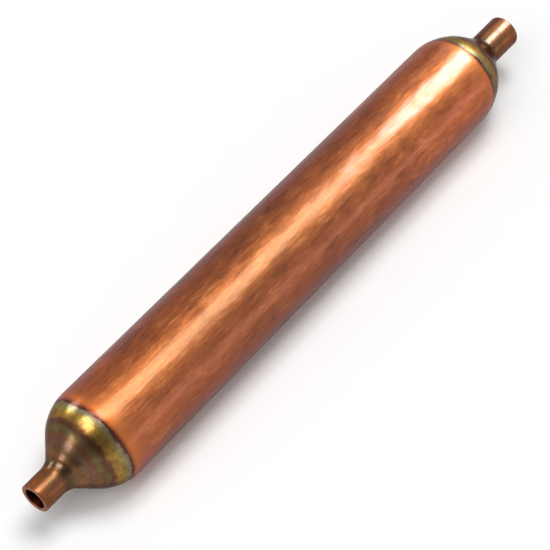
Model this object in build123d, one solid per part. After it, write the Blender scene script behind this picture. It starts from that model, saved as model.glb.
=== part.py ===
from build123d import *
from math import cos, hypot, radians, sin
import os

# Copper filter drier for a small refrigeration circuit.
#
# The shell is one length of drawn copper tube with both ends spun down to brazing
# sockets. It holds a charge of molecular-sieve beads between two felt pads, and each
# pad lies against a woven wire screen that a rolled ring keeps open at the end of the
# parallel body.
#
# The axis lies along X and the refrigerant flows towards +X, so the inlet is at -X.
# The origin is under the middle of the drier, on the surface that it lies on, with +Z
# up. All sizes are in millimetres.

# Shell, parallel part
body_diameter = 30.0
body_length = 163.0
body_wall = 0.8

# Brazing sockets: the gap is radial, between a socket and the line brazed into it
socket_gap = 0.075
rim_round = 0.3

# Outlet end, spun for a 1/4 in line
outlet_line_diameter = 6.35
outlet_neck_wall = 1.3
outlet_neck_length = 6.5
outlet_cone_angle = 42.7
outlet_shoulder_radius = 16.0
outlet_root_radius = 7.0

# Inlet end, spun for a 5/16 in line
inlet_line_diameter = 7.94
inlet_neck_wall = 1.2
inlet_neck_length = 11.4
inlet_cone_angle = 40.4
inlet_shoulder_radius = 19.6
inlet_root_radius = 2.5

# Screens: cups of woven wire, with their skirts against the inside of the shell
screen_gap = 0.1
seat_gap = 0.2
inlet_screen_wall = 0.7
inlet_screen_depth = 6.0
inlet_screen_corner = 1.4
inlet_screen_pitch = 2.4
inlet_screen_opening = 1.6
outlet_screen_wall = 0.5
outlet_screen_skirt = 7.0
outlet_screen_rise = 5.0
outlet_screen_pitch = 2.3
outlet_screen_opening = 1.2
mesh_border = 1.0

# Rings: flat strip rolled to press each skirt outwards
ring_gap = 0.05
ring_wall = 0.6
ring_width = 4.5
ring_edge_round = 0.2

# Charge: the beads and pads fill the bore of the shell between the screens
charge_gap = 0.1
pad_thickness = 3.0

# Worked out from the sizes above
body_radius = body_diameter / 2
body_bore_radius = body_radius - body_wall
outlet_socket_radius = outlet_line_diameter / 2 + socket_gap
outlet_neck_radius = outlet_socket_radius + outlet_neck_wall
inlet_socket_radius = inlet_line_diameter / 2 + socket_gap
inlet_neck_radius = inlet_socket_radius + inlet_neck_wall
screen_radius = body_bore_radius - screen_gap
charge_radius = body_bore_radius - charge_gap


def shoulder_length(drop, shoulder_radius, root_radius, cone_angle):
    """Length along the axis of a spun shoulder, from the parallel body to the neck."""
    turn = radians(cone_angle)
    round_drop = (shoulder_radius + root_radius) * (1 - cos(turn))
    cone_length = (drop - round_drop) / sin(turn)
    return (shoulder_radius + root_radius) * sin(turn) + cone_length * cos(turn)


outlet_shoulder_length = shoulder_length(
    body_radius - outlet_neck_radius, outlet_shoulder_radius, outlet_root_radius, outlet_cone_angle
)
inlet_shoulder_length = shoulder_length(
    body_radius - inlet_neck_radius, inlet_shoulder_radius, inlet_root_radius, inlet_cone_angle
)
inlet_end_length = inlet_neck_length + inlet_shoulder_length
outlet_end_length = outlet_neck_length + outlet_shoulder_length
overall_length = inlet_end_length + body_length + outlet_end_length

# Stations along the axis
inlet_mouth_x = -overall_length / 2
outlet_mouth_x = overall_length / 2
body_start_x = inlet_mouth_x + inlet_end_length
body_end_x = body_start_x + body_length
inlet_screen_x = body_start_x + seat_gap
inlet_pad_x = inlet_screen_x + inlet_screen_depth
beads_start_x = inlet_pad_x + pad_thickness
outlet_skirt_end_x = body_end_x - seat_gap
outlet_skirt_x = outlet_skirt_end_x - outlet_screen_skirt
outlet_pad_x = outlet_skirt_x - pad_thickness


def along_x(radius, start_x, end_x):
    """A round bar on the drier's axis, from one station to another."""
    bar = Cylinder(radius, end_x - start_x, align=(Align.CENTER, Align.CENTER, Align.MIN))
    return Pos(X=start_x) * Rot(Y=90) * bar


def arc(centre_x, centre_r, radius, first_angle, last_angle):
    """An arc about a centre, drawn through the point halfway round."""

    def at(angle):
        return (centre_x + radius * cos(radians(angle)), centre_r + radius * sin(radians(angle)))

    return ThreePointArc(at(first_angle), at((first_angle + last_angle) / 2), at(last_angle))


def spun_end(body_r, neck_r, shoulder_r, root_r, cone_angle, mouth):
    """One spun end, as edges from the parallel body at x = 0 to its mouth.

    A round shoulder turns the wall in, a short cone follows at the stated angle, and a
    hollow root turns it back to the parallel neck.
    """
    length = shoulder_length(body_r - neck_r, shoulder_r, root_r, cone_angle)
    shoulder = arc(0, body_r - shoulder_r, shoulder_r, 90, 90 - cone_angle)
    root = arc(length, neck_r + root_r, root_r, 270 - cone_angle, 270)
    cone = Line(shoulder @ 1, root @ 0)
    neck = Line(root @ 1, (mouth, neck_r))
    return [shoulder, cone, root, neck]


def tube_form(wall, inlet_neck_r, outlet_neck_r):
    """The solid of revolution whose skin lies one wall thickness inside the body's outside.

    Each shoulder keeps its centre and its cone angle, so the spun wall is as thick as the
    body's. Each root is larger by the neck's own wall, which brings the wall up to it.
    """
    skin_r = body_radius - wall
    outlet_edges = spun_end(
        skin_r,
        outlet_neck_r,
        outlet_shoulder_radius - wall,
        outlet_root_radius + (outlet_neck_radius - outlet_neck_r),
        outlet_cone_angle,
        outlet_end_length,
    )
    inlet_edges = spun_end(
        skin_r,
        inlet_neck_r,
        inlet_shoulder_radius - wall,
        inlet_root_radius + (inlet_neck_radius - inlet_neck_r),
        inlet_cone_angle,
        inlet_end_length,
    )
    outlet_half = [Pos(X=body_end_x) * edge for edge in outlet_edges]
    inlet_half = [Pos(X=body_start_x) * mirror(edge, Plane.YZ) for edge in inlet_edges]
    body = Line((body_start_x, skin_r), (body_end_x, skin_r))
    closing = Polyline(
        (outlet_mouth_x, outlet_neck_r),
        (outlet_mouth_x, 0),
        (inlet_mouth_x, 0),
        (inlet_mouth_x, inlet_neck_r),
    )
    section = make_face(Curve() + [body, *outlet_half, *inlet_half, closing])
    return revolve(section, Axis.X)


def make_shell():
    """The copper shell: spun outside less its bore, with both rims deburred."""
    outside = tube_form(0, inlet_neck_radius, outlet_neck_radius)
    inside = tube_form(body_wall, inlet_socket_radius, outlet_socket_radius)
    shell = outside - inside
    rims = shell.edges().filter_by(GeomType.CIRCLE).group_by(Axis.X)
    return fillet(rims[0] + rims[-1], rim_round)


def mesh_openings(reach, pitch, opening, start_x, end_x):
    """The square openings of a woven screen, as bars along X within a radius of the axis."""
    half = opening / 2
    count = int(reach / pitch)
    rows = [step * pitch for step in range(-count, count + 1)]
    centres = [(y, z) for y in rows for z in rows if hypot(abs(y) + half, abs(z) + half) <= reach]
    bar = Box(end_x - start_x, opening, opening, align=(Align.MIN, Align.CENTER, Align.CENTER))
    return [Pos(start_x, y, z) * bar for y, z in centres]


def make_inlet_screen():
    """The coarse screen: a flat-bottomed cup, open towards the inlet."""
    end_x = inlet_screen_x + inlet_screen_depth
    outside = along_x(screen_radius, inlet_screen_x, end_x)
    outside = fillet(outside.edges().sort_by(Axis.X)[-1], inlet_screen_corner)
    bore_radius = screen_radius - inlet_screen_wall
    bore = along_x(bore_radius, inlet_screen_x, end_x - inlet_screen_wall)
    bore = fillet(bore.edges().sort_by(Axis.X)[-1], inlet_screen_corner - inlet_screen_wall)
    reach = bore_radius - mesh_border
    openings = mesh_openings(reach, inlet_screen_pitch, inlet_screen_opening, inlet_screen_x, end_x)
    return outside - bore - openings


def domed_bar(radius, rise):
    """A round bar on the axis from the outlet screen's open end to a domed end."""
    rim_x = outlet_skirt_end_x
    tip_x = rim_x + rise
    ball_radius = (radius**2 + rise**2) / (2 * rise)
    ball_x = tip_x - ball_radius
    half_way = hypot(radius / 2, rim_x - ball_x)
    middle = (ball_x + ball_radius * (rim_x - ball_x) / half_way, ball_radius * radius / 2 / half_way)
    dome = ThreePointArc((rim_x, radius), middle, (tip_x, 0))
    sides = Polyline((tip_x, 0), (outlet_skirt_x, 0), (outlet_skirt_x, radius), (rim_x, radius))
    return revolve(make_face(dome + sides), Axis.X)


def make_outlet_screen():
    """The fine screen: a cup open towards the beads, with its end domed towards the outlet."""
    bore_radius = screen_radius - outlet_screen_wall
    outside = domed_bar(screen_radius, outlet_screen_rise)
    inside = domed_bar(bore_radius, outlet_screen_rise - outlet_screen_wall)
    reach = bore_radius - mesh_border
    tip_x = outlet_skirt_end_x + outlet_screen_rise
    openings = mesh_openings(reach, outlet_screen_pitch, outlet_screen_opening, outlet_skirt_x, tip_x)
    return outside - inside - openings


def make_ring(start_x, screen_wall):
    """A rolled ring inside a screen's skirt, with softened edges."""
    outer_radius = screen_radius - screen_wall - ring_gap
    end_x = start_x + ring_width
    ring = along_x(outer_radius, start_x, end_x) - along_x(outer_radius - ring_wall, start_x, end_x)
    return fillet(ring.edges().filter_by(GeomType.CIRCLE), ring_edge_round)


# The inlet ring stops short of the round corner inside its cup.
inlet_ring_x = inlet_pad_x - inlet_screen_corner - ring_width

nodes = {
    "shell": make_shell(),
    "inlet_screen": make_inlet_screen(),
    "inlet_screen_ring": make_ring(inlet_ring_x, inlet_screen_wall),
    "inlet_pad": along_x(charge_radius, inlet_pad_x, beads_start_x),
    "desiccant_beads": along_x(charge_radius, beads_start_x, outlet_pad_x),
    "outlet_pad": along_x(charge_radius, outlet_pad_x, outlet_skirt_x),
    "outlet_screen": make_outlet_screen(),
    "outlet_screen_ring": make_ring(outlet_skirt_x, outlet_screen_wall),
}

os.makedirs("parts", exist_ok=True)
for name, solid in nodes.items():
    export_step(Pos(Z=body_radius) * solid, f"parts/{name}.step")
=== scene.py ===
import random
from itertools import product
from math import asin, atan2, cos, degrees, exp, hypot, pi, radians, sin, sqrt

import bmesh
import bpy
from mathutils import Matrix, Vector, noise


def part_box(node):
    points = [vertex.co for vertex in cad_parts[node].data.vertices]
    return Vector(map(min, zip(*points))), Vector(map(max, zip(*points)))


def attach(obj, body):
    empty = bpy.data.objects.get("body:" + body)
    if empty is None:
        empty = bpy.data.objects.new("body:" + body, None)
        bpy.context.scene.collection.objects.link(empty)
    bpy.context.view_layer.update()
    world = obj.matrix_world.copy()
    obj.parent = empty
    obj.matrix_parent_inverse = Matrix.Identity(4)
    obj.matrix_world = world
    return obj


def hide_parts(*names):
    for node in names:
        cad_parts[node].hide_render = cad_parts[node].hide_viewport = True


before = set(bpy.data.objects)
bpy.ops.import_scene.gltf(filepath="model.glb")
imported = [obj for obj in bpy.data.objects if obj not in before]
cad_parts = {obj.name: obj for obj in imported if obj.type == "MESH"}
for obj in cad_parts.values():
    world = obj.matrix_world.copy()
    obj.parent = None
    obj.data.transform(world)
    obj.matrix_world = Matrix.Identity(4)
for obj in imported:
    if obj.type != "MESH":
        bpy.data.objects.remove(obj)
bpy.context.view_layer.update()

# A copper filter drier: a drawn copper tube whose ends were spun down hot to brazing
# sockets, which left temper colours on both shoulders. Metres, +X from inlet to outlet.

MM = 0.001
AXIS = Vector((1, 0, 0))
MERGE_DISTANCE = 0.0005 * MM

# Shell, repeated from the part's own driving sizes.
shell_low, shell_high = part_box("shell")
BODY_RADIUS = (shell_high[2] - shell_low[2]) / 2
INLET_MOUTH = shell_low[0]
OUTLET_MOUTH = shell_high[0]
BODY_WALL = 0.8 * MM
RIM_ROUND = 0.3 * MM

OUTLET = {
    "side": 1,
    "mouth": OUTLET_MOUTH,
    "neck_length": 6.5 * MM,
    "neck_radius": 4.55 * MM,
    "socket_radius": 3.25 * MM,
    "cone_angle": radians(42.7),
    "shoulder_radius": 16.0 * MM,
    "root_radius": 7.0 * MM,
    "tint_from_mouth": 23.5 * MM,
}
INLET = {
    "side": -1,
    "mouth": INLET_MOUTH,
    "neck_length": 11.4 * MM,
    "neck_radius": 5.245 * MM,
    "socket_radius": 4.045 * MM,
    "cone_angle": radians(40.4),
    "shoulder_radius": 19.6 * MM,
    "root_radius": 2.5 * MM,
    "tint_from_mouth": 26.6 * MM,
}

# Marks of the spinning tool, measured inwards from the edge of the heated zone.
LEDGE_DROP = 0.07 * MM
LEDGE_RUN = 0.45 * MM
RIPPLE_PLACE = 11.6 * MM
RIPPLE_SPREAD = 2.0 * MM
RIPPLE_PITCH = 3.4 * MM
RIPPLE_DEPTH = 0.17 * MM
MARKS_FADE = 3.0 * MM

# Fineness of the shell: steps round its axis, and steps along its arcs and cones.
SHELL_STEPS = 180
SHOULDER_STEPS = 60
ROOT_STEPS = 30
RIM_STEPS = 5
CONE_STEP = 0.25 * MM

# A face of the rim looks along the axis at least this much.
RIM_FACING = 0.6


# ---------------------------------------------------------------- node and mesh helpers


def linear(code, alpha=1.0):
    """An sRGB hex code, such as "b87333", as linear red, green, blue and alpha."""
    parts = [int(code[i:i + 2], 16) / 255 for i in (0, 2, 4)]
    return [p / 12.92 if p <= 0.04045 else ((p + 0.055) / 1.055) ** 2.4 for p in parts] + [alpha]


def add_node(tree, kind, settings=None, links=None):
    """Adds a node, sets its properties and sockets, and links the named outputs into it."""
    node = tree.nodes.new(kind)
    for name, value in (settings or {}).items():
        if isinstance(name, str) and hasattr(node, name):
            setattr(node, name, value)
        else:
            node.inputs[name].default_value = value
    for name, source in (links or {}).items():
        tree.links.new(source, node.inputs[name])
    return node


def set_ramp(node, stops):
    """Gives a colour ramp its stops, as (position, hex code) pairs."""
    elements = node.color_ramp.elements
    elements[0].position, elements[0].color = stops[0][0], linear(stops[0][1])
    elements[1].position, elements[1].color = stops[-1][0], linear(stops[-1][1])
    for position, code in stops[1:-1]:
        elements.new(position).color = linear(code)


def grain_scale(*sizes):
    """The scale of a pattern on Object coordinates from its grain in millimetres along X, Y, Z.

    Sizes carry six digits, because a rounded one would shift the pattern far from the origin.
    """
    return tuple(1 / (size * MM) for size in sizes)


def new_material(name):
    """An empty material and its node tree."""
    material = bpy.data.materials.new(name)
    material.use_nodes = True
    material.node_tree.nodes.clear()
    return material, material.node_tree


def new_piece(name, bm, materials, node, smooth=True):
    """Turns a bmesh into a piece of the drier that stands for one CAD node."""
    for face in bm.faces:
        face.smooth = smooth
    mesh = bpy.data.meshes.new(name)
    bm.to_mesh(mesh)
    bm.free()
    for material in materials:
        mesh.materials.append(material)
    piece = bpy.data.objects.new(name, mesh)
    bpy.context.scene.collection.objects.link(piece)
    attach(piece, "root")
    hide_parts(node)
    return piece


def lathe(bm, outline, steps, closed):
    """Spins an outline of (x, radius) points round the drier's axis."""
    verts = [bm.verts.new((x, 0, BODY_RADIUS + radius)) for x, radius in outline]
    pairs = list(zip(verts, verts[1:])) + ([(verts[-1], verts[0])] if closed else [])
    edges = [bm.edges.new(pair) for pair in pairs]
    bmesh.ops.spin(
        bm,
        geom=verts + edges,
        cent=(0, 0, BODY_RADIUS),
        axis=AXIS,
        angle=2 * pi,
        steps=steps,
        use_merge=True,
    )
    bmesh.ops.remove_doubles(bm, verts=bm.verts, dist=MERGE_DISTANCE)
    bmesh.ops.recalc_face_normals(bm, faces=bm.faces)


# ---------------------------------------------------------------- shell


def arc_points(centre_x, centre_r, radius, first, last, count):
    """Points on an arc, from one angle to another in degrees."""
    turns = [radians(first + (last - first) * i / count) for i in range(count + 1)]
    return [(centre_x + radius * cos(turn), centre_r + radius * sin(turn)) for turn in turns]


def cone_and_length(turn, shoulder, root, drop):
    """The cone's own length and the whole end's, for an end that narrows by a drop in radius."""
    cone = (drop - (shoulder + root) * (1 - cos(turn))) / sin(turn)
    return cone, (shoulder + root) * sin(turn) + cone * cos(turn)


def end_outline(end, skin, neck_radius):
    """One spun end from the parallel body to its neck: a shoulder, a cone and a rounded root.

    A skin of nothing gives the outside, and a skin of one wall gives the inside.
    """
    turn = end["cone_angle"]
    tilt = degrees(turn)
    shoulder = end["shoulder_radius"]
    root = end["root_radius"]
    _, length = cone_and_length(turn, shoulder, root, BODY_RADIUS - end["neck_radius"])
    start = end["mouth"] - end["side"] * (end["neck_length"] + length)
    own_shoulder = shoulder - skin
    own_root = root + end["neck_radius"] - neck_radius
    own_drop = BODY_RADIUS - skin - neck_radius
    cone, own_length = cone_and_length(turn, own_shoulder, own_root, own_drop)
    points = arc_points(0, BODY_RADIUS - shoulder, own_shoulder, 90, 90 - tilt, SHOULDER_STEPS)
    root_arc = arc_points(own_length, neck_radius + own_root, own_root, 270 - tilt, 270, ROOT_STEPS)
    foot = points[-1]
    steps = max(2, round(cone / CONE_STEP))
    for i in range(1, steps):
        share = i / steps
        points.append(tuple(a + (b - a) * share for a, b in zip(foot, root_arc[0])))
    points += root_arc
    return [(start + end["side"] * x, radius) for x, radius in points]


def spin_marks(end, points):
    """Adds what the spinning tool left outside: a ledge where it first bit, then soft ripples."""
    marked = []
    for x, radius in points:
        inward = (x - temper_line(end)) * end["side"]
        ledge = LEDGE_DROP * min(1.0, max(0.0, inward / LEDGE_RUN))
        fade = exp(-(((inward - RIPPLE_PLACE) / RIPPLE_SPREAD) ** 2))
        ripple = RIPPLE_DEPTH * fade * (1 - cos(2 * pi * (inward - RIPPLE_PLACE) / RIPPLE_PITCH)) / 2
        neck_start = end["tint_from_mouth"] - end["neck_length"]
        settle = min(1.0, max(0.0, (neck_start - inward) / MARKS_FADE))
        marked.append((x, radius - (ledge + ripple) * settle))
    return marked


def shell_outline():
    """The closed section of the shell, outside first, with both rims rounded."""
    outer_out = spin_marks(OUTLET, end_outline(OUTLET, 0, OUTLET["neck_radius"]))
    outer_in = spin_marks(INLET, end_outline(INLET, 0, INLET["neck_radius"]))
    inner_out = end_outline(OUTLET, BODY_WALL, OUTLET["socket_radius"])
    inner_in = end_outline(INLET, BODY_WALL, INLET["socket_radius"])
    outlet_rim = rim_points(OUTLET)
    inlet_rim = rim_points(INLET)
    return outer_in[::-1] + outer_out + outlet_rim + inner_out[::-1] + inner_in + inlet_rim[::-1]


def rim_points(end):
    """The rounded rim of a mouth, from the outside of the neck to its bore."""
    side = end["side"]
    outer = arc_points(-RIM_ROUND, end["neck_radius"] - RIM_ROUND, RIM_ROUND, 90, 0, RIM_STEPS)
    inner = arc_points(-RIM_ROUND, end["socket_radius"] + RIM_ROUND, RIM_ROUND, 0, -90, RIM_STEPS)
    return [(end["mouth"] + side * x, radius) for x, radius in outer + inner]


def temper_line(end):
    """Where along the axis the heated zone of an end starts."""
    return end["mouth"] - end["side"] * end["tint_from_mouth"]


def build_shell(materials):
    """The shell as one closed wall, with a finish for each zone of it."""
    bm = bmesh.new()
    lathe(bm, shell_outline(), SHELL_STEPS, True)
    drawn, outlet_tint, inlet_tint, bore, rim = range(5)
    for face in bm.faces:
        centre = face.calc_center_median()
        outward = face.normal.yz.dot(centre.yz - Vector((0, BODY_RADIUS)))
        if abs(face.normal.x) > RIM_FACING and abs(centre.x) > OUTLET_MOUTH - RIM_ROUND:
            face.material_index = rim
        elif outward < 0:
            face.material_index = bore
        elif centre.x > temper_line(OUTLET):
            face.material_index = outlet_tint
        elif centre.x < temper_line(INLET):
            face.material_index = inlet_tint
        else:
            face.material_index = drawn
    return new_piece("copper_shell", bm, materials, "shell")


# ---------------------------------------------------------------- screens, rings and charge

# A cup's profile runs from the middle of its closed end to its rim, in stretches. Each has a
# length and an angle that it turns through, and a flat or straight one turns through none.
# Both cloths are drawn coarser than real ones, so that single wires show.
RINGS_PER_PITCH = 4
INLET_WALL = 0.7 * MM
INLET_PITCH = 1.3 * MM
INLET_CORNER = 1.05 * MM
INLET_WIRE_SIDES = 6
OUTLET_WALL = 0.5 * MM
OUTLET_PITCH = 0.9 * MM
OUTLET_CORNER = 0.4 * MM
OUTLET_SKIRT = 7.0 * MM
OUTLET_WIRE_SIDES = 4

RING_WALL = 0.6 * MM
RING_ROUND = 0.2 * MM
RING_STEPS = 160
EDGE_STEPS = 4

# Felt: lumps to the metre, and the fractal's dimension, lacunarity and octaves.
FELT_LUMPS = 900
FELT_FRACTAL = (0.9, 2.1, 4)
FELT_TUFT = 0.28 * MM
FELT_EDGE_TUFT = 0.6
FELT_ROUND = 0.5 * MM
FELT_RINGS = 26
FELT_STEPS = 144

# Beads: drawn larger than real ones, each with few faces, as over a thousand fill the shell.
BEAD = 3.2 * MM
BEAD_GAP = 1.03
BEAD_SEGMENTS = 8
BEAD_RINGS = 5
BEAD_SEED = 7
BEAD_SIZES = (0.93, 1.0)
BEAD_NUDGE = 0.04
BEAD_OVERREACH = 1.04
BEAD_ROW_SLACK = 1.2


def cloth_point(stretches, distance):
    """Walks along a cup's profile: how far it has dropped back, its radius and its turn."""
    back, radius, turned = 0.0, 0.0, 0.0
    for length, turn in stretches:
        part = min(distance, length)
        if turn:
            bend = turn / length
            back += (cos(turned) - cos(turned + bend * part)) / bend
            radius += (sin(turned + bend * part) - sin(turned)) / bend
            turned += bend * part
        else:
            back += sin(turned) * part
            radius += cos(turned) * part
        distance -= part
        if distance <= 0:
            break
    return back, radius, turned


def wire_path(stretches, tip_x, pitch, wire, row, family):
    """One wire of the woven cloth: over one crossing wire, under the next, pressed to the cup."""
    reach = sum(length for length, _ in stretches)
    offset = row * pitch
    half = sqrt(max(0.0, reach**2 - offset**2))
    steps = max(2, round(2 * half / pitch * RINGS_PER_PITCH))
    path = []
    for i in range(steps + 1):
        along = -half + 2 * half * i / steps
        lift = wire / 2 * cos(pi * (along / pitch + row + family))
        spot = (along, offset) if family == 0 else (offset, along)
        back, radius, turned = cloth_point(stretches, hypot(*spot))
        angle = atan2(spot[1], spot[0])
        radius += lift * sin(turned)
        x = tip_x - back + lift * cos(turned)
        path.append((x, radius * cos(angle), BODY_RADIUS + radius * sin(angle)))
    return path


def build_screen(node, stretches, tip_x, pitch, wire, sides, material):
    """A cup pressed from plain-weave wire cloth, every wire a swept tube of its own."""
    cloth = bpy.data.curves.new(node + "_wires", "CURVE")
    cloth.dimensions = "3D"
    cloth.bevel_depth = wire / 2
    cloth.bevel_resolution = (sides - 4) // 2
    cloth.use_fill_caps = True
    reach = sum(length for length, _ in stretches)
    rows = int(reach / pitch)
    for family in (0, 1):
        for row in range(-rows, rows + 1):
            path = wire_path(stretches, tip_x, pitch, wire, row, family)
            spline = cloth.splines.new("POLY")
            spline.points.add(len(path) - 1)
            for point, place in zip(spline.points, path):
                point.co = (*place, 1)
    drawn = bpy.data.objects.new(node + "_wires", cloth)
    mesh = bpy.data.meshes.new_from_object(drawn)
    bpy.data.objects.remove(drawn)
    bm = bmesh.new()
    bm.from_mesh(mesh)
    bpy.data.meshes.remove(mesh)
    return new_piece(node + "_cloth", bm, [material], node)


def build_inlet_screen(material):
    """Coarse cloth as a flat-bottomed cup that opens towards the inlet."""
    low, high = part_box("inlet_screen")
    wire = INLET_WALL / 2
    radius = high[1] - wire
    depth = high[0] - low[0] - wire
    stretches = [
        (radius - INLET_CORNER, 0),
        (pi / 2 * INLET_CORNER, pi / 2),
        (depth - INLET_CORNER - wire / 2, 0),
    ]
    tip_x = high[0] - wire
    build_screen("inlet_screen", stretches, tip_x, INLET_PITCH, wire, INLET_WIRE_SIDES, material)


def build_outlet_screen(material):
    """Fine cloth as a cup whose closed end is domed towards the outlet."""
    low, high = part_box("outlet_screen")
    wire = OUTLET_WALL / 2
    radius = high[1] - wire
    rise = high[0] - low[0] - OUTLET_SKIRT
    ball = (radius**2 + rise**2) / (2 * rise)
    slope = asin(radius / ball)
    corner = OUTLET_CORNER * (pi / 2 - slope)
    stretches = [
        (ball * slope - corner / 2, slope),
        (corner, pi / 2 - slope),
        (OUTLET_SKIRT - OUTLET_WALL, 0),
    ]
    tip_x = high[0] - wire
    build_screen("outlet_screen", stretches, tip_x, OUTLET_PITCH, wire, OUTLET_WIRE_SIDES, material)


def rounded_section(x_low, x_high, inner, outer, rounding):
    """The section of a flat ring with softened edges, as a closed outline."""
    corners = [
        (x_high - rounding, outer - rounding, 90, 0),
        (x_high - rounding, inner + rounding, 0, -90),
        (x_low + rounding, inner + rounding, 270, 180),
        (x_low + rounding, outer - rounding, 180, 90),
    ]
    points = []
    for x, radius, first, last in corners:
        points += arc_points(x, radius, rounding, first, last, EDGE_STEPS)
    return points


def build_ring(node, material):
    """Flat strip rolled to a ring, which keeps a screen's skirt pressed to the shell."""
    low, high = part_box(node)
    section = rounded_section(low[0], high[0], high[1] - RING_WALL, high[1], RING_ROUND)
    bm = bmesh.new()
    lathe(bm, section, RING_STEPS, True)
    new_piece(node + "_strip", bm, [material], node)


def build_pad(node, material):
    """A felt disc: its faces are quilted by loose fibre and its cut edge is a little ragged."""
    low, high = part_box(node)
    flat = high[1] - FELT_ROUND
    spread = [flat * i / FELT_RINGS for i in range(FELT_RINGS + 1)]
    front = [(high[0], radius) for radius in spread]
    front_edge = arc_points(high[0] - FELT_ROUND, flat, FELT_ROUND, 0, 90, EDGE_STEPS)
    back_edge = arc_points(low[0] + FELT_ROUND, flat, FELT_ROUND, 90, 180, EDGE_STEPS)
    back = [(low[0], radius) for radius in reversed(spread)]
    bm = bmesh.new()
    lathe(bm, front + front_edge + back_edge + back, FELT_STEPS, False)
    middle = (low[0] + high[0]) / 2
    for vert in bm.verts:
        spoke = Vector((0, vert.co.y, vert.co.z - BODY_RADIUS))
        tuft = 0.5 + 0.5 * noise.fractal(vert.co * FELT_LUMPS, *FELT_FRACTAL)
        sink = FELT_TUFT * min(1.0, max(0.0, tuft))
        vert.co.x += sink if vert.co.x < middle else -sink
        if spoke.length > flat:
            vert.co -= spoke.normalized() * sink * FELT_EDGE_TUFT
    new_piece(node + "_felt", bm, [material], node)


def bead_moves(low, high):
    """Where each bead goes, and its turn and size: close layers shaken a little out of line."""
    reach = high[1] - BEAD / 2
    step = BEAD * BEAD_GAP
    layer_step = step * sqrt(2 / 3)
    run = high[0] - low[0] - BEAD
    layers = int(run / layer_step) + 1
    first = low[0] + BEAD / 2 + (run - (layers - 1) * layer_step) / 2
    rows = int(reach / step * BEAD_ROW_SLACK) + 2
    shake = random.Random(BEAD_SEED)
    for layer, row, column in product(range(layers), range(-rows, rows + 1), range(-rows, rows + 1)):
        y = (column + row / 2) * step
        z = row * step * sqrt(3) / 2 + (layer % 2) * step / sqrt(3)
        if hypot(y, z) > reach * BEAD_OVERREACH:
            continue
        size = shake.uniform(*BEAD_SIZES)
        pull = min(1.0, (high[1] - BEAD * size / 2) / max(hypot(y, z), MM))
        # Of three nudges only the one along the axis is used, as it clears the neighbours.
        nudge = [shake.uniform(-BEAD_NUDGE, BEAD_NUDGE) * MM for _ in range(3)]
        x = first + layer * layer_step + nudge[0]
        x = min(max(x, low[0] + BEAD / 2), high[0] - BEAD / 2)
        place = Vector((x, y * pull, BODY_RADIUS + z * pull))
        angle = shake.uniform(0, pi)
        turn = Matrix.Rotation(angle, 4, Vector((shake.random(), shake.random(), 1)))
        yield Matrix.Translation(place) @ turn @ Matrix.Scale(size, 4)


def build_beads(material):
    """The charge of sieve beads, as copies of one ball."""
    ball = bmesh.new()
    bmesh.ops.create_uvsphere(
        ball, u_segments=BEAD_SEGMENTS, v_segments=BEAD_RINGS, radius=BEAD / 2
    )
    bead = bpy.data.meshes.new("sieve_bead")
    ball.to_mesh(bead)
    ball.free()
    bm = bmesh.new()
    for move in bead_moves(*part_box("desiccant_beads")):
        bead.transform(move)
        bm.from_mesh(bead)
        bead.transform(move.inverted())
    bpy.data.meshes.remove(bead)
    new_piece("sieve_bead_charge", bm, [material], "desiccant_beads")


# ---------------------------------------------------------------- finishes


# Heat blush on the drawn tube, from the edge of the heated zone: millimetres and colour.
BLUSH_COLOURS = [
    (0.0, "742e10"),
    (0.4, "a44c18"),
    (1.1, "c46824"),
    (4.0, "b8622e"),
    (40.0, "b8622e"),
]
BLUSH_REACH = 40.0

# How much brighter the drawn colour is made from the inlet's heated edge to the outlet's:
# a paler grey brightens it more, and "bcbcbc" leaves the drawn colour as it is.
CLEANNESS = [
    (0.0, "e4e4e4"),
    (0.14, "dcdcdc"),
    (0.32, "c4c4c4"),
    (0.5, "bcbcbc"),
    (0.74, "bcbcbc"),
    (0.9, "cecece"),
]
CLEANNESS_GAIN = 2.0


def drawn_patterns(tree, place):
    """The streaks of drawing, the rubs of handling, and both blended with clouds of tarnish."""
    along = add_node(
        tree,
        "ShaderNodeMapping",
        {"Scale": grain_scale(6.66667, 0.5, 0.5)},
        {"Vector": place},
    )
    streaks = add_node(
        tree,
        "ShaderNodeTexNoise",
        {"Scale": 1.0, "Detail": 4.0, "Roughness": 0.65},
        {"Vector": along.outputs[0]},
    )
    cloud_place = add_node(
        tree,
        "ShaderNodeMapping",
        {"Scale": grain_scale(9.09091, 5.26316, 5.26316)},
        {"Vector": place},
    )
    clouds = add_node(
        tree,
        "ShaderNodeTexNoise",
        {"Scale": 1.0, "Detail": 6.0, "Roughness": 0.62, "Distortion": 0.6},
        {"Vector": cloud_place.outputs[0]},
    )
    rub_place = add_node(
        tree,
        "ShaderNodeMapping",
        {"Scale": grain_scale(5.88235, 1.42857, 1.42857)},
        {"Vector": place},
    )
    rubs = add_node(
        tree,
        "ShaderNodeTexNoise",
        {"Scale": 1.0, "Detail": 5.0, "Roughness": 0.7, "Distortion": 0.4},
        {"Vector": rub_place.outputs[0]},
    )
    worked = add_node(
        tree,
        "ShaderNodeMix",
        {"data_type": "FLOAT", "Factor": 0.55},
        {"A": streaks.outputs["Fac"], "B": rubs.outputs["Fac"]},
    )
    blend = add_node(
        tree,
        "ShaderNodeMix",
        {"data_type": "FLOAT", "Factor": 0.34},
        {"A": worked.outputs["Result"], "B": clouds.outputs["Fac"]},
    )
    return streaks.outputs["Fac"], rubs.outputs["Fac"], blend.outputs["Result"]


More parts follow.
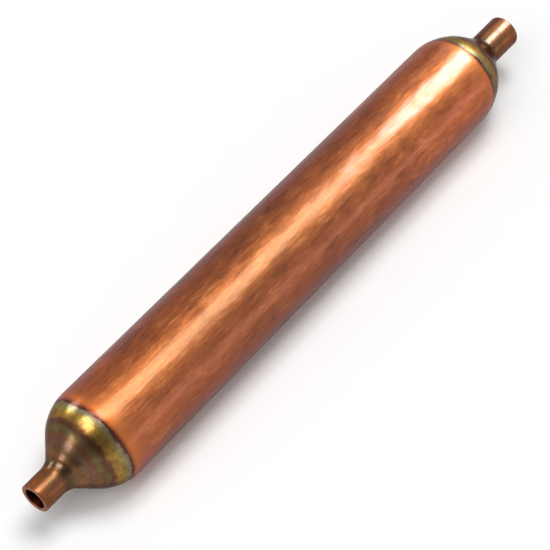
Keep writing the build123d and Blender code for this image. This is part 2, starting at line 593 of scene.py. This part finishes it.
def heat_ends(tree, place, drawn):
    """Brightens the drawn colour towards both ends and blushes it beside the heated zones."""
    split = add_node(tree, "ShaderNodeSeparateXYZ", links={"Vector": place})
    middle = (temper_line(OUTLET) + temper_line(INLET)) / 2
    half = (temper_line(OUTLET) - temper_line(INLET)) / 2
    centred = add_node(
        tree,
        "ShaderNodeMath",
        {"operation": "SUBTRACT", 1: middle},
        {0: split.outputs["X"]},
    )
    reach = add_node(tree, "ShaderNodeMath", {"operation": "ABSOLUTE"}, {0: centred.outputs[0]})
    from_line = add_node(
        tree,
        "ShaderNodeMapRange",
        {"From Min": half, "From Max": half - BLUSH_REACH * MM, "To Min": 0.0, "To Max": 1.0},
        {"Value": reach.outputs[0]},
    )
    blush = add_node(tree, "ShaderNodeValToRGB", links={"Fac": from_line.outputs["Result"]})
    set_ramp(blush, [(mm / BLUSH_REACH, code) for mm, code in BLUSH_COLOURS])
    fade = add_node(
        tree,
        "ShaderNodeMapRange",
        {
            "interpolation_type": "SMOOTHSTEP",
            "From Min": 0.02,
            "From Max": 0.2,
            "To Min": 0.9,
            "To Max": 0.0,
        },
        {"Value": from_line.outputs["Result"]},
    )
    along_tube = add_node(
        tree,
        "ShaderNodeMapRange",
        {
            "From Min": temper_line(INLET),
            "From Max": temper_line(OUTLET),
            "To Min": 0.0,
            "To Max": 1.0,
        },
        {"Value": split.outputs["X"]},
    )
    # A ramp of how much the drawn colour is brightened along the tube, most towards both heated
    # ends.
    tarnish = add_node(tree, "ShaderNodeValToRGB", links={"Fac": along_tube.outputs["Result"]})
    set_ramp(tarnish, CLEANNESS)
    cleaner = add_node(
        tree,
        "ShaderNodeMath",
        {"operation": "MULTIPLY", 1: CLEANNESS_GAIN},
        {0: tarnish.outputs["Color"]},
    )
    cleaned = add_node(
        tree,
        "ShaderNodeHueSaturation",
        links={"Value": cleaner.outputs[0], "Color": drawn},
    )
    heated = add_node(
        tree,
        "ShaderNodeMix",
        {"data_type": "RGBA"},
        {
            "Factor": fade.outputs["Result"],
            "A": cleaned.outputs["Color"],
            "B": blush.outputs["Color"],
        },
    )
    return heated.outputs["Result"]


def drawn_relief(tree, place, streaks, rubs):
    """Normals of the tube with its swells and handling dents, and with its streaks as well."""
    swell_place = add_node(
        tree,
        "ShaderNodeMapping",
        {"Scale": grain_scale(14.2857, 7.69231, 7.69231)},
        {"Vector": place},
    )
    swell = add_node(
        tree,
        "ShaderNodeTexNoise",
        {"Scale": 1.0, "Detail": 2.0},
        {"Vector": swell_place.outputs[0]},
    )
    waves = add_node(
        tree,
        "ShaderNodeBump",
        {"Strength": 0.5, "Distance": 0.7 * MM},
        {"Height": swell.outputs["Fac"]},
    )
    dents = add_node(
        tree,
        "ShaderNodeBump",
        {"Strength": 0.5, "Distance": 0.12 * MM},
        {"Height": rubs, "Normal": waves.outputs["Normal"]},
    )
    bump = add_node(
        tree,
        "ShaderNodeBump",
        {"Strength": 0.3, "Distance": 0.02 * MM},
        {"Height": streaks, "Normal": dents.outputs["Normal"]},
    )
    return dents.outputs["Normal"], bump.outputs["Normal"]


def drawn_copper():
    """Drawn copper tube, browned by handling and rubbed with fine grit along its length.

    The eye sees a deep satin brown-orange metal with faint streaks along the tube, soft
    cloudy patches where the tarnish film is thicker, and a colour that grows brighter
    towards each heated end. The film gives the highlight its pale edge. The streaks are drawn
    0.5 mm wide, as the grit's own scratches are too fine to show.
    """
    material, tree = new_material("drawn_copper_tube")
    place = add_node(tree, "ShaderNodeTexCoord").outputs["Object"]
    streaks, rubs, blend = drawn_patterns(tree, place)
    colour = add_node(tree, "ShaderNodeValToRGB", links={"Fac": blend})
    set_ramp(colour, [(0.37, "6c3413"), (0.46, "8d451c"), (0.54, "9d5023"), (0.63, "b66a3a")])
    heated = heat_ends(tree, place, colour.outputs["Color"])
    gloss = add_node(
        tree,
        "ShaderNodeMapRange",
        {"From Min": 0.35, "From Max": 0.65, "To Min": 0.34, "To Max": 0.46},
        {"Value": blend},
    )
    dented, streaked = drawn_relief(tree, place, streaks, rubs)
    shader = add_node(
        tree,
        "ShaderNodeBsdfPrincipled",
        {
            "Metallic": 1.0,
            "Specular Tint": linear("7c6048"),
            "Coat Weight": 0.62,
            "Coat IOR": 1.62,
            "Coat Roughness": 0.18,
        },
        {
            "Base Color": heated,
            "Roughness": gloss.outputs["Result"],
            "Normal": streaked,
            "Coat Normal": dented,
        },
    )
    add_node(tree, "ShaderNodeOutputMaterial", links={"Surface": shader.outputs[0]})
    return material


# Temper colours from the edge of the heated zone towards the mouth: millimetres and colour.
# The first two stops are a dark line. It is partly the oxide's own edge and partly painted
# shade of the ledge that the spinning tool left.
TEMPER_COLOURS = [
    (0.0, "5c2c16"),
    (0.3, "4c2818"),
    (0.7, "907a6c"),
    (1.3, "948c66"),
    (2.1, "9c8a44"),
    (3.1, "ad8634"),
    (4.6, "a88038"),
    (5.3, "774430"),
    (6.1, "64402f"),
    (6.9, "77643c"),
    (7.9, "75603f"),
    (8.7, "86512f"),
    (9.6, "78594a"),
    (10.8, "83603f"),
    (12.2, "8a5c38"),
    (14.0, "62523c"),
    (14.8, "4a3820"),
    (15.8, "7e4e2e"),
    (22.0, "8e5029"),
]
TEMPER_REACH = 24.0

# Millimetres: how far the bands wander, and where the shoulder's gloss gives way to the neck's.
BAND_WANDER = 1.008
NECK_FROM = 14.0
NECK_BY = 17.0


def temper_bands(tree, place, depth):
    """The oxide bands along the heated zone and the painted ledge shade, with wandering edges."""
    wander = add_node(
        tree,
        "ShaderNodeTexNoise",
        {"Scale": 1 / (6.66667 * MM), "Detail": 6.0, "Roughness": 0.7},
        {"Vector": place},
    )
    shift = add_node(
        tree,
        "ShaderNodeMapRange",
        {
            "From Min": 0.3,
            "From Max": 0.7,
            "To Min": -BAND_WANDER / TEMPER_REACH,
            "To Max": BAND_WANDER / TEMPER_REACH,
            "clamp": False,
        },
        {"Value": wander.outputs["Fac"]},
    )
    wavy = add_node(
        tree,
        "ShaderNodeMath",
        {"operation": "ADD"},
        {0: depth, 1: shift.outputs["Result"]},
    )
    colour = add_node(tree, "ShaderNodeValToRGB", links={"Fac": wavy.outputs[0]})
    set_ramp(colour, [(mm / TEMPER_REACH, code) for mm, code in TEMPER_COLOURS])
    return colour.outputs["Color"]


def temper_gloss(tree, patches, depth):
    """Roughness that rises with the browned patches, and again on the neck."""
    gloss = add_node(
        tree,
        "ShaderNodeMapRange",
        {"From Min": 0.35, "From Max": 0.65, "To Min": 0.23, "To Max": 0.34},
        {"Value": patches},
    )
    duller = add_node(
        tree,
        "ShaderNodeMapRange",
        {
            "From Min": NECK_FROM / TEMPER_REACH,
            "From Max": NECK_BY / TEMPER_REACH,
            "To Min": 0.0,
            "To Max": 0.08,
        },
        {"Value": depth},
    )
    gloss = add_node(
        tree,
        "ShaderNodeMath",
        {"operation": "ADD"},
        {0: gloss.outputs["Result"], 1: duller.outputs["Result"]},
    )
    return gloss.outputs[0]


def tempered_copper(name, end):
    """Copper spun down hot and left unpickled, so bands of oxide colour ring the shoulder.

    The eye sees muted gold, plum and olive rings with smudged edges, browned over in
    patches and ending at a thin dark line, partly the oxide's edge and partly painted shade of
    the tool's ledge, on a surface glossier than the drawn tube, with the fine ring marks of the
    spinning tool.
    """
    material, tree = new_material(name)
    place = add_node(tree, "ShaderNodeTexCoord").outputs["Object"]
    line = temper_line(end)
    split = add_node(tree, "ShaderNodeSeparateXYZ", links={"Vector": place})
    depth = add_node(
        tree,
        "ShaderNodeMapRange",
        {
            "From Min": line,
            "From Max": line + end["side"] * TEMPER_REACH * MM,
            "To Min": 0.0,
            "To Max": 1.0,
            "clamp": False,
        },
        {"Value": split.outputs["X"]},
    )
    bands = temper_bands(tree, place, depth.outputs["Result"])
    patches = add_node(
        tree,
        "ShaderNodeTexNoise",
        {"Scale": 1 / (3.0303 * MM), "Detail": 5.0, "Roughness": 0.7, "Distortion": 0.8},
        {"Vector": place},
    )
    browned = add_node(
        tree,
        "ShaderNodeMapRange",
        {"From Min": 0.40, "From Max": 0.66, "To Min": 0.0, "To Max": 0.75},
        {"Value": patches.outputs["Fac"]},
    )
    stained = add_node(
        tree,
        "ShaderNodeMix",
        {"data_type": "RGBA", "B": linear("5e3c20")},
        {"Factor": browned.outputs["Result"], "A": bands},
    )
    gloss = temper_gloss(tree, patches.outputs["Fac"], depth.outputs["Result"])
    rings_place = add_node(
        tree,
        "ShaderNodeMapping",
        {"Scale": grain_scale(0.625, 20, 20)},
        {"Vector": place},
    )
    rings = add_node(
        tree,
        "ShaderNodeTexNoise",
        {"Scale": 1.0, "Detail": 2.0},
        {"Vector": rings_place.outputs[0]},
    )
    bump = add_node(
        tree,
        "ShaderNodeBump",
        {"Strength": 0.25, "Distance": 0.02 * MM},
        {"Height": rings.outputs["Fac"]},
    )
    shader = add_node(
        tree,
        "ShaderNodeBsdfPrincipled",
        {
            "Metallic": 1.0,
            "Specular Tint": linear("a08c74"),
            "Coat Weight": 0.4,
            "Coat IOR": 1.5,
            "Coat Roughness": 0.12,
        },
        {
            "Base Color": stained.outputs["Result"],
            "Roughness": gloss,
            "Normal": bump.outputs["Normal"],
        },
    )
    add_node(tree, "ShaderNodeOutputMaterial", links={"Surface": shader.outputs[0]})
    return material


def bore_copper():
    """Copper inside the spun tube, dulled by scale from the heat.

    The eye sees a dark brown hole, its browns partly the scale's colour and partly painted
    shade down the bore, with only a dull warm glint near its mouth.
    """
    material, tree = new_material("scaled_and_shaded_bore_copper")
    place = add_node(tree, "ShaderNodeTexCoord").outputs["Object"]
    scale = add_node(
        tree,
        "ShaderNodeTexNoise",
        {"Scale": 1 / (2.5 * MM), "Detail": 3.0},
        {"Vector": place},
    )
    colour = add_node(tree, "ShaderNodeValToRGB", links={"Fac": scale.outputs["Fac"]})
    # The browns are the scale's own colour, darkened further as painted shade down the bore.
    set_ramp(colour, [(0.35, "54281a"), (0.65, "7c4026")])
    shader = add_node(
        tree,
        "ShaderNodeBsdfPrincipled",
        {"Metallic": 1.0, "Roughness": 0.35},
        {"Base Color": colour.outputs["Color"]},
    )
    add_node(tree, "ShaderNodeOutputMaterial", links={"Surface": shader.outputs[0]})
    return material


def cut_rim():
    """The cut and deburred end of the tube.

    The eye sees a thin pinkish ring of cleaner copper, matt from the file. The file's marks
    are drawn about 0.6 mm apart, as real ones are too fine to show.
    """
    material, tree = new_material("filed_copper_rim")
    place = add_node(tree, "ShaderNodeTexCoord").outputs["Object"]
    scratches = add_node(
        tree,
        "ShaderNodeTexNoise",
        {"Scale": 1 / (0.555556 * MM), "Detail": 4.0},
        {"Vector": place},
    )
    colour = add_node(tree, "ShaderNodeValToRGB", links={"Fac": scratches.outputs["Fac"]})
    set_ramp(colour, [(0.35, "805038"), (0.65, "aa7050")])
    bump = add_node(
        tree,
        "ShaderNodeBump",
        {"Strength": 0.3, "Distance": 0.03 * MM},
        {"Height": scratches.outputs["Fac"]},
    )
    shader = add_node(
        tree,
        "ShaderNodeBsdfPrincipled",
        {"Metallic": 1.0, "Roughness": 0.45},
        {"Base Color": colour.outputs["Color"], "Normal": bump.outputs["Normal"]},
    )
    add_node(tree, "ShaderNodeOutputMaterial", links={"Surface": shader.outputs[0]})
    return material


def screen_wire():
    """Stainless wire, drawn bright and woven.

    The eye sees pale grey metal whose gloss and tone drift slowly from wire to wire.
    """
    material, tree = new_material("woven_stainless_wire")
    place = add_node(tree, "ShaderNodeTexCoord").outputs["Object"]
    grime = add_node(
        tree,
        "ShaderNodeTexNoise",
        {"Scale": 1 / (1.42857 * MM), "Detail": 3.0},
        {"Vector": place},
    )
    colour = add_node(tree, "ShaderNodeValToRGB", links={"Fac": grime.outputs["Fac"]})
    set_ramp(colour, [(0.35, "a3a19b"), (0.65, "c9c7c0")])
    gloss = add_node(
        tree,
        "ShaderNodeMapRange",
        {"From Min": 0.35, "From Max": 0.65, "To Min": 0.24, "To Max": 0.38},
        {"Value": grime.outputs["Fac"]},
    )
    shader = add_node(
        tree,
        "ShaderNodeBsdfPrincipled",
        {"Metallic": 1.0},
        {"Base Color": colour.outputs["Color"], "Roughness": gloss.outputs["Result"]},
    )
    add_node(tree, "ShaderNodeOutputMaterial", links={"Surface": shader.outputs[0]})
    return material


def rolled_strip():
    """Cold-rolled steel strip with a thin zinc flash.

    The eye sees a soft grey sheen with fine rolling lines along the strip and faint clouds.
    """
    material, tree = new_material("zinc_flashed_strip_steel")
    place = add_node(tree, "ShaderNodeTexCoord").outputs["Object"]
    across = add_node(
        tree,
        "ShaderNodeMapping",
        {"Scale": grain_scale(0.2, 11.1111, 11.1111)},
        {"Vector": place},
    )
    lines = add_node(
        tree,
        "ShaderNodeTexNoise",
        {"Scale": 1.0, "Detail": 3.0},
        {"Vector": across.outputs[0]},
    )
    clouds = add_node(
        tree,
        "ShaderNodeTexNoise",
        {"Scale": 1 / (3.84615 * MM), "Detail": 4.0},
        {"Vector": place},
    )
    colour = add_node(tree, "ShaderNodeValToRGB", links={"Fac": clouds.outputs["Fac"]})
    set_ramp(colour, [(0.35, "9a9ea0"), (0.65, "bcc0c0")])
    bump = add_node(
        tree,
        "ShaderNodeBump",
        {"Strength": 0.2, "Distance": 0.02 * MM},
        {"Height": lines.outputs["Fac"]},
    )
    shader = add_node(
        tree,
        "ShaderNodeBsdfPrincipled",
        {"Metallic": 1.0, "Roughness": 0.36},
        {"Base Color": colour.outputs["Color"], "Normal": bump.outputs["Normal"]},
    )
    add_node(tree, "ShaderNodeOutputMaterial", links={"Surface": shader.outputs[0]})
    return material


def fibre_felt():
    """Needled polyester felt, unbleached.

    The eye sees a matt off-white mat of crossing fibres with a faint halo at its edge. The
    fibres are drawn 0.2 to 0.4 mm wide, coarser than real ones, so that they still show.
    """
    material, tree = new_material("needled_polyester_felt")
    place = add_node(tree, "ShaderNodeTexCoord").outputs["Object"]
    fibres = []
    for angle in (25, 80, 140):
        turned = add_node(
            tree,
            "ShaderNodeMapping",
            {
                "Rotation": (radians(angle), radians(20), 0),
                "Scale": grain_scale(0.4, 2.22222, 0.238095),
            },
            {"Vector": place},
        )
        fibres.append(
            add_node(
                tree,
                "ShaderNodeTexNoise",
                {"Scale": 1.0, "Detail": 2.0, "Distortion": 1.2},
                {"Vector": turned.outputs[0]},
            ).outputs["Fac"]
        )
    pair = add_node(tree, "ShaderNodeMath", {"operation": "MAXIMUM"}, {0: fibres[0], 1: fibres[1]})
    mat = add_node(
        tree,
        "ShaderNodeMath",
        {"operation": "MAXIMUM"},
        {0: pair.outputs[0], 1: fibres[2]},
    )
    colour = add_node(tree, "ShaderNodeValToRGB", links={"Fac": mat.outputs[0]})
    set_ramp(colour, [(0.42, "a89f8c"), (0.6, "ded6c6"), (0.75, "f0ebdf")])
    bump = add_node(
        tree,
        "ShaderNodeBump",
        {"Strength": 0.6, "Distance": 0.1 * MM},
        {"Height": mat.outputs[0]},
    )
    shader = add_node(
        tree,
        "ShaderNodeBsdfPrincipled",
        {"Roughness": 0.95, "Sheen Weight": 0.35, "Sheen Roughness": 0.5},
        {"Base Color": colour.outputs["Color"], "Normal": bump.outputs["Normal"]},
    )
    add_node(tree, "ShaderNodeOutputMaterial", links={"Surface": shader.outputs[0]})
    return material


def sieve_ceramic():
    """Molecular-sieve beads: clay-bound zeolite, rolled and fired.

    The eye sees chalky beige balls with fine pits, in tones that drift from ball to ball.
    """
    material, tree = new_material("fired_zeolite_clay")
    place = add_node(tree, "ShaderNodeTexCoord").outputs["Object"]
    tone = add_node(tree, "ShaderNodeTexVoronoi", {"Scale": 1 / BEAD}, {"Vector": place})
    grain = add_node(
        tree,
        "ShaderNodeTexNoise",
        {"Scale": 1 / (0.384615 * MM), "Detail": 3.0},
        {"Vector": place},
    )
    blend = add_node(
        tree,
        "ShaderNodeMix",
        {"data_type": "FLOAT", "Factor": 0.5},
        {"A": tone.outputs["Distance"], "B": grain.outputs["Fac"]},
    )
    colour = add_node(tree, "ShaderNodeValToRGB", links={"Fac": blend.outputs["Result"]})
    set_ramp(colour, [(0.3, "b59f7e"), (0.5, "c9b592"), (0.7, "d8c7a8")])
    bump = add_node(
        tree,
        "ShaderNodeBump",
        {"Strength": 0.4, "Distance": 0.05 * MM},
        {"Height": grain.outputs["Fac"]},
    )
    shader = add_node(
        tree,
        "ShaderNodeBsdfPrincipled",
        {"Roughness": 0.82, "Specular IOR Level": 0.35},
        {"Base Color": colour.outputs["Color"], "Normal": bump.outputs["Normal"]},
    )
    add_node(tree, "ShaderNodeOutputMaterial", links={"Surface": shader.outputs[0]})
    return material


# ---------------------------------------------------------------- studio


FLOOR_HALF = 3.0
FLOOR_GLOW = 0.05


def build_floor():
    """White paper under the drier, which stays white to the camera and keeps the shadow."""
    bm = bmesh.new()
    bmesh.ops.create_grid(bm, x_segments=1, y_segments=1, size=FLOOR_HALF)
    mesh = bpy.data.meshes.new("studio_floor")
    bm.to_mesh(mesh)
    bm.free()
    floor = bpy.data.objects.new("studio_floor", mesh)
    bpy.context.scene.collection.objects.link(floor)
    material, tree = new_material("white_paper_sweep")
    path = add_node(tree, "ShaderNodeLightPath")
    paper = add_node(
        tree,
        "ShaderNodeMix",
        {"data_type": "RGBA", "A": linear("dedede"), "B": linear("fafafa")},
        {"Factor": path.outputs["Is Camera Ray"]},
    )
    diffuse = add_node(tree, "ShaderNodeBsdfDiffuse", links={"Color": paper.outputs["Result"]})
    seen = add_node(
        tree,
        "ShaderNodeMath",
        {"operation": "MAXIMUM"},
        {0: path.outputs["Is Camera Ray"], 1: path.outputs["Is Glossy Ray"]},
    )
    seen = add_node(
        tree,
        "ShaderNodeMath",
        {"operation": "MAXIMUM"},
        {0: seen.outputs[0], 1: path.outputs["Is Transmission Ray"]},
    )
    lift = add_node(
        tree,
        "ShaderNodeMath",
        {"operation": "MULTIPLY", 1: FLOOR_GLOW},
        {0: seen.outputs[0]},
    )
    glow = add_node(
        tree,
        "ShaderNodeEmission",
        {"Color": (1, 1, 1, 1)},
        {"Strength": lift.outputs[0]},
    )
    both = add_node(tree, "ShaderNodeAddShader", links={0: diffuse.outputs[0], 1: glow.outputs[0]})
    add_node(tree, "ShaderNodeOutputMaterial", links={"Surface": both.outputs[0]})
    mesh.materials.append(material)


# The way from the drier to the camera, and the strength that matt surfaces get from the tent.
TOWARDS_CAMERA = (0.62, 0.40, 0.67)
TENT_ON_MATT = 0.31


def build_world():
    """A white tent up to a low height, dimmer overhead and darkest behind the camera."""
    world = bpy.data.worlds.new("light_tent")
    world.use_nodes = True
    tree = world.node_tree
    tree.nodes.clear()
    place = add_node(tree, "ShaderNodeTexCoord").outputs["Generated"]
    split = add_node(tree, "ShaderNodeSeparateXYZ", links={"Vector": place})
    height = add_node(
        tree,
        "ShaderNodeMapRange",
        {
            "interpolation_type": "SMOOTHSTEP",
            "From Min": 0.02,
            "From Max": 0.14,
            "To Min": 1.0,
            "To Max": 0.62,
        },
        {"Value": split.outputs["Z"]},
    )
    facing = add_node(
        tree, "ShaderNodeVectorMath", {"operation": "DOT_PRODUCT", 1: TOWARDS_CAMERA}, {0: place}
    )
    room = add_node(
        tree,
        "ShaderNodeMapRange",
        {
            "interpolation_type": "SMOOTHSTEP",
            "From Min": 0.72,
            "From Max": 0.95,
            "To Min": 1.0,
            "To Max": 0.3,
        },
        {"Value": facing.outputs["Value"]},
    )
    shown = add_node(
        tree,
        "ShaderNodeMath",
        {"operation": "MULTIPLY"},
        {0: height.outputs["Result"], 1: room.outputs["Result"]},
    )
    side = add_node(
        tree,
        "ShaderNodeMapRange",
        {"From Min": -1.0, "From Max": 1.0, "To Min": 0.76, "To Max": 1.14},
        {"Value": split.outputs["Y"]},
    )
    shown = add_node(
        tree,
        "ShaderNodeMath",
        {"operation": "MULTIPLY"},
        {0: shown.outputs[0], 1: side.outputs["Result"]},
    )
    path = add_node(tree, "ShaderNodeLightPath")
    strength = add_node(
        tree,
        "ShaderNodeMix",
        {"data_type": "FLOAT", "B": TENT_ON_MATT},
        {"Factor": path.outputs["Is Diffuse Ray"], "A": shown.outputs[0]},
    )
    background = add_node(
        tree,
        "ShaderNodeBackground",
        {"Color": (1, 1, 1, 1)},
        {"Strength": strength.outputs["Result"]},
    )
    add_node(tree, "ShaderNodeOutputWorld", links={"Surface": background.outputs[0]})
    bpy.context.scene.world = world


def area_lamp(name, distance, direction, width, height, radiance, code):
    """A rectangular lamp that faces the drier; radiance 1 looks white in a mirror."""
    light = bpy.data.lights.new(name, "AREA")
    light.shape = "RECTANGLE"
    light.size = width
    light.size_y = height
    light.energy = radiance * pi * width * height
    light.color = linear(code)[:3]
    lamp = bpy.data.objects.new(name, light)
    towards = Vector(direction).normalized()
    lamp.location = Vector((0, 0, BODY_RADIUS)) + towards * distance
    lamp.rotation_euler = towards.to_track_quat("Z", "Y").to_euler()
    bpy.context.scene.collection.objects.link(lamp)
    return lamp


# Lamps and softboxes: direction, width and height in metres, radiance and colour. Top and
# far make the long highlight, and zenith its end beside the outlet's shoulder. Near makes the
# gold spot on that shoulder, low the glint on its ripples, and horizon shows in the inlet's
# shoulder. Side, flank and front lift the two flanks.
LAMPS = {
    "key": ((-0.16, 0.02, 0.99), 0.70, 0.70, 7.6, "ffffff"),
    "fill": ((0.60, 0.05, 0.80), 1.00, 1.00, 2.3, "ffffff"),
}
SOFTBOXES = {
    "far": ((-0.731, 0.022, 0.680), 0.37, 0.31, 24.0, "b8deff"),
    "horizon": ((-0.92, -0.12, 0.36), 0.40, 0.25, 4.0, "ffffff"),
    "flank": ((-0.74, -0.46, 0.49), 0.30, 0.26, 1.1, "ffffff"),
    "top": ((-0.355, 0.145, 0.92), 0.37, 0.36, 5.3, "dcffe2"),
    "zenith": ((-0.02, 0.0, 1.0), 0.40, 0.26, 6.5, "ffffff"),
    "near": ((0.46, -0.17, 0.87), 0.44, 0.28, 6.8, "ffffff"),
    "side": ((0.13, -0.87, 0.48), 0.28, 0.26, 6.0, "ffffff"),
    "front": ((-0.48, 0.87, 0.10), 0.60, 0.16, 1.3, "ffe8dc"),
    "low": ((0.88, -0.33, 0.34), 0.22, 0.22, 4.0, "ffffff"),
}
LAMP_DISTANCE = 1.5
SOFTBOX_DISTANCE = 0.9


def build_lamps():
    """The lamps light the floor and every matt surface; the softboxes only show in gloss."""
    for name, setting in LAMPS.items():
        area_lamp(name + "_lamp", LAMP_DISTANCE, *setting).visible_glossy = False
    for name, setting in SOFTBOXES.items():
        area_lamp(name + "_softbox", SOFTBOX_DISTANCE, *setting).visible_diffuse = False


# Camera: its place in metres, its right-hand side and its view as directions, and its lens
# and sensor in millimetres.
CAMERA_PLACE = (0.29319, 0.22427, 0.47215)
CAMERA_RIGHT = Vector((-0.61715, 0.78685, 0))
CAMERA_LOOK = Vector((-0.48474, -0.38020, -0.78770))
CAMERA_LENS = 132.1
CAMERA_SENSOR = 36


def build_camera():
    """A long lens that looks down the drier's length from above its outlet end."""
    data = bpy.data.cameras.new("camera")
    data.sensor_width = CAMERA_SENSOR
    data.lens = CAMERA_LENS
    camera = bpy.data.objects.new("camera", data)
    up = CAMERA_RIGHT.cross(CAMERA_LOOK)
    turn = Matrix((CAMERA_RIGHT, up, -CAMERA_LOOK)).transposed().to_4x4()
    camera.matrix_world = Matrix.Translation(CAMERA_PLACE) @ turn
    bpy.context.scene.collection.objects.link(camera)
    bpy.context.scene.camera = camera


bpy.context.scene.view_settings.view_transform = "Standard"
build_camera()
build_world()
build_floor()
build_lamps()

build_shell([
    drawn_copper(),
    tempered_copper("tempered_copper_outlet", OUTLET),
    tempered_copper("tempered_copper_inlet", INLET),
    bore_copper(),
    cut_rim(),
])

wire = screen_wire()
build_inlet_screen(wire)
build_outlet_screen(wire)
strip = rolled_strip()
for ring in ("inlet_screen_ring", "outlet_screen_ring"):
    build_ring(ring, strip)
felt = fibre_felt()
for pad in ("inlet_pad", "outlet_pad"):
    build_pad(pad, felt)
build_beads(sieve_ceramic())
